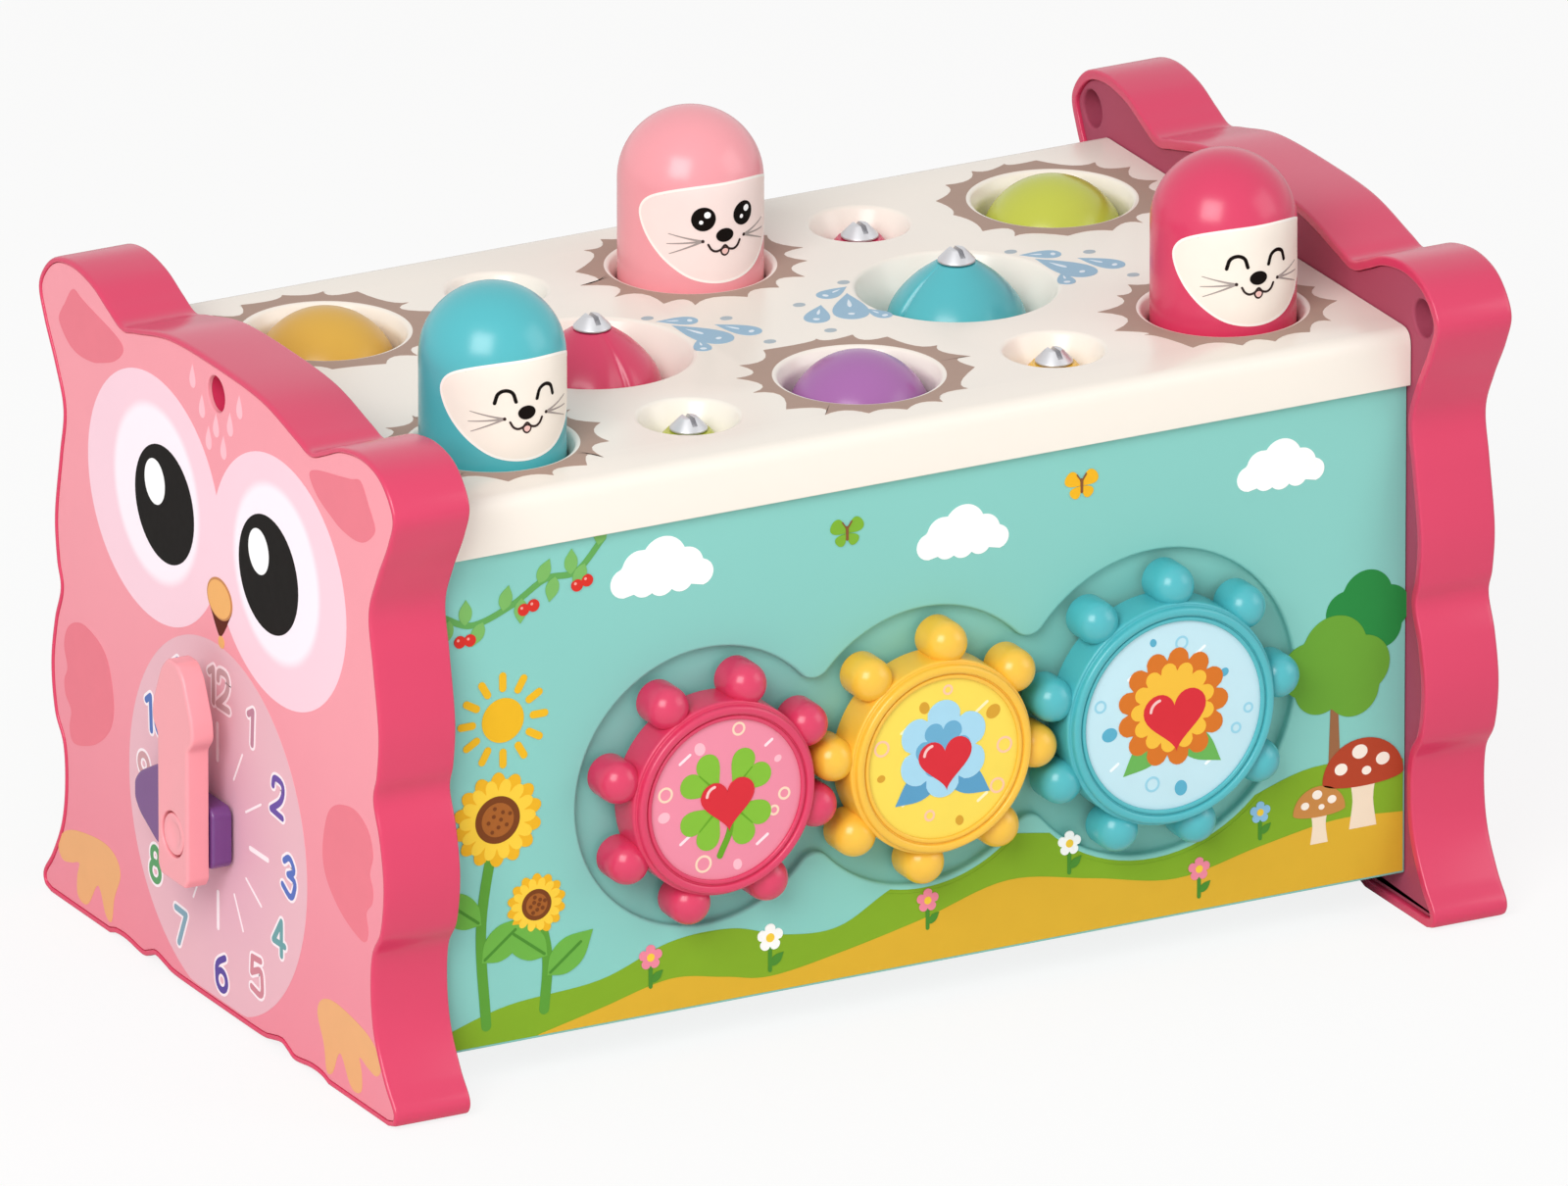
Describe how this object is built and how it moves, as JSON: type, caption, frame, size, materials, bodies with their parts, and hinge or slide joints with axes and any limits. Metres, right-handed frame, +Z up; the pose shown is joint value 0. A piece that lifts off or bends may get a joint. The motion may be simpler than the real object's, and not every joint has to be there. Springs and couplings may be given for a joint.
{
  "type": "pounding toy",
  "caption": "Box-shaped pounding toy with owl-shaped ends, pop-up moles on rockers, meshing knob gears, a play clock and lift-out fish and worms.",
  "frame": {"origin": "centre of the bounding box, on the surface that the owl feet stand on", "axes": "+X from the clock end to the plain end, -Y towards the gear front, +Z up"},
  "size_m": [0.3014, 0.1782, 0.1825],
  "materials": {
    "crimson_plastic": "moulded, satin gloss",
    "dull_crimson_plastic": "moulded, matt",
    "pink_face_print": "printed plate with an owl face, satin",
    "cream_plastic": "moulded, with printed ornaments, satin",
    "teal_panel": "moulded, with a printed landscape on the front, satin",
    "teal_plastic": "moulded, glossy",
    "pink_plastic": "moulded, glossy",
    "yellow_plastic": "moulded, glossy",
    "green_plastic": "moulded, glossy",
    "purple_plastic": "moulded, glossy",
    "dark_purple_plastic": "moulded, glossy",
    "grey_plastic": "moulded, matt, inside the box",
    "steel": "plated and polished",
    "disc_print": "printed disc, glossy"
  },
  "bodies": {
    "box": {"left_end_shell": "crimson_plastic", "right_end_shell": "crimson_plastic", "left_face_plate": "pink_face_print", "right_face_plate": "pink_face_print", "left_inner_cover": "dull_crimson_plastic", "right_inner_cover": "dull_crimson_plastic", "cover_screw_left_front": "steel", "cover_screw_left_back": "steel", "cover_screw_right_front": "steel", "cover_screw_right_back": "steel", "top_deck": "cream_plastic", "front_panel": "teal_panel", "back_panel": "teal_panel", "base_plate": "teal_panel", "guide_plate": "grey_plastic", "rocker_bracket_left": "grey_plastic", "rocker_bracket_right": "grey_plastic", "rocker_rod": "steel", "gear_axle_crimson": "steel", "gear_axle_yellow": "steel", "gear_axle_teal": "steel", "clock_spindle": "pink_plastic"},
    "teal_mole": {"mole_teal": "teal_plastic", "mole_stem_teal": "grey_plastic"},
    "yellow_mole": {"mole_yellow": "yellow_plastic", "mole_stem_yellow": "grey_plastic"},
    "purple_mole": {"mole_purple": "purple_plastic", "mole_stem_purple": "grey_plastic"},
    "pink_mole": {"mole_pink": "pink_plastic", "mole_stem_pink": "grey_plastic"},
    "crimson_mole": {"mole_crimson": "crimson_plastic", "mole_stem_crimson": "grey_plastic"},
    "green_mole": {"mole_green": "green_plastic", "mole_stem_green": "grey_plastic"},
    "left_rocker": {"rocker_left": "grey_plastic"},
    "middle_rocker": {"rocker_middle": "grey_plastic"},
    "right_rocker": {"rocker_right": "grey_plastic"},
    "crimson_gear": {"gear_crimson": "crimson_plastic", "gear_disc_crimson": "disc_print"},
    "yellow_gear": {"gear_yellow": "yellow_plastic", "gear_disc_yellow": "disc_print"},
    "teal_gear": {"gear_teal": "teal_plastic", "gear_disc_teal": "disc_print"},
    "minute_hand": {"clock_minute_hand": "pink_plastic"},
    "hour_hand": {"clock_hour_hand": "dark_purple_plastic"},
    "crimson_fish": {"fish_crimson": "crimson_plastic", "fish_tip_crimson": "steel"},
    "teal_fish": {"fish_teal": "teal_plastic", "fish_tip_teal": "steel"},
    "green_worm": {"worm_green": "green_plastic", "worm_tip_green": "steel"},
    "teal_worm": {"worm_teal": "teal_plastic", "worm_tip_teal": "steel"},
    "yellow_worm": {"worm_yellow": "yellow_plastic", "worm_tip_yellow": "steel"},
    "red_worm": {"worm_red": "crimson_plastic", "worm_tip_red": "steel"}
  },
  "joints": [
    {"name": "teal_mole_press", "type": "slide", "parent": "box", "child": "teal_mole", "axis": [0, 0, 1], "range_m": [-0.0332, 0]},
    {"name": "yellow_mole_rise", "type": "slide", "parent": "box", "child": "yellow_mole", "axis": [0, 0, 1], "range_m": [0, 0.0332]},
    {"name": "left_rocker_tilt", "type": "hinge", "parent": "box", "child": "left_rocker", "pos_m": [-0.08925, 0, 0.06001], "axis": [1, 0, 0], "range_deg": [0, 47.14]},
    {"name": "pink_mole_press", "type": "slide", "parent": "box", "child": "pink_mole", "axis": [0, 0, 1], "range_m": [-0.0332, 0]},
    {"name": "purple_mole_rise", "type": "slide", "parent": "box", "child": "purple_mole", "axis": [0, 0, 1], "range_m": [0, 0.0332]},
    {"name": "middle_rocker_tilt", "type": "hinge", "parent": "box", "child": "middle_rocker", "pos_m": [0.00575, 0, 0.06001], "axis": [1, 0, 0], "range_deg": [-47.14, 0]},
    {"name": "crimson_mole_press", "type": "slide", "parent": "box", "child": "crimson_mole", "axis": [0, 0, 1], "range_m": [-0.0332, 0]},
    {"name": "green_mole_rise", "type": "slide", "parent": "box", "child": "green_mole", "axis": [0, 0, 1], "range_m": [0, 0.0332]},
    {"name": "right_rocker_tilt", "type": "hinge", "parent": "box", "child": "right_rocker", "pos_m": [0.10075, 0, 0.06001], "axis": [1, 0, 0], "range_deg": [0, 47.14]},
    {"name": "teal_gear_spin", "type": "hinge", "parent": "box", "child": "teal_gear", "pos_m": [0.06567, -0.07233, 0.0635], "axis": [0, -1, 0], "continuous": true},
    {"name": "yellow_gear_spin", "type": "hinge", "parent": "box", "child": "yellow_gear", "pos_m": [0.00575, -0.07233, 0.0635], "axis": [0, -1, 0], "continuous": true},
    {"name": "crimson_gear_spin", "type": "hinge", "parent": "box", "child": "crimson_gear", "pos_m": [-0.05065, -0.07233, 0.0635], "axis": [0, -1, 0], "continuous": true},
    {"name": "minute_hand_turn", "type": "hinge", "parent": "box", "child": "minute_hand", "pos_m": [-0.14515, 0, 0.045], "axis": [-1, 0, 0], "continuous": true},
    {"name": "hour_hand_turn", "type": "hinge", "parent": "box", "child": "hour_hand", "pos_m": [-0.13975, 0, 0.045], "axis": [-1, 0, 0], "continuous": true},
    {"name": "crimson_fish_lift", "type": "slide", "parent": "box", "child": "crimson_fish", "axis": [0, 0, 1], "range_m": [0, 0.05]},
    {"name": "teal_fish_lift", "type": "slide", "parent": "box", "child": "teal_fish", "axis": [0, 0, 1], "range_m": [0, 0.05]},
    {"name": "green_worm_lift", "type": "slide", "parent": "box", "child": "green_worm", "axis": [0, 0, 1], "range_m": [0, 0.035]},
    {"name": "teal_worm_lift", "type": "slide", "parent": "box", "child": "teal_worm", "axis": [0, 0, 1], "range_m": [0, 0.035]},
    {"name": "yellow_worm_lift", "type": "slide", "parent": "box", "child": "yellow_worm", "axis": [0, 0, 1], "range_m": [0, 0.035]},
    {"name": "red_worm_lift", "type": "slide", "parent": "box", "child": "red_worm", "axis": [0, 0, 1], "range_m": [0, 0.035]}
  ],
  "couplings": [
    {"joint": "yellow_mole_rise", "follows": "teal_mole_press", "ratio": -1},
    {"joint": "left_rocker_tilt", "follows": "teal_mole_press", "rad_per_m": -24.78},
    {"joint": "purple_mole_rise", "follows": "pink_mole_press", "ratio": -1},
    {"joint": "middle_rocker_tilt", "follows": "pink_mole_press", "rad_per_m": 24.78},
    {"joint": "green_mole_rise", "follows": "crimson_mole_press", "ratio": -1},
    {"joint": "right_rocker_tilt", "follows": "crimson_mole_press", "rad_per_m": -24.78},
    {"joint": "yellow_gear_spin", "follows": "teal_gear_spin", "ratio": -1.125},
    {"joint": "crimson_gear_spin", "follows": "teal_gear_spin", "ratio": 1.125}
  ]
}
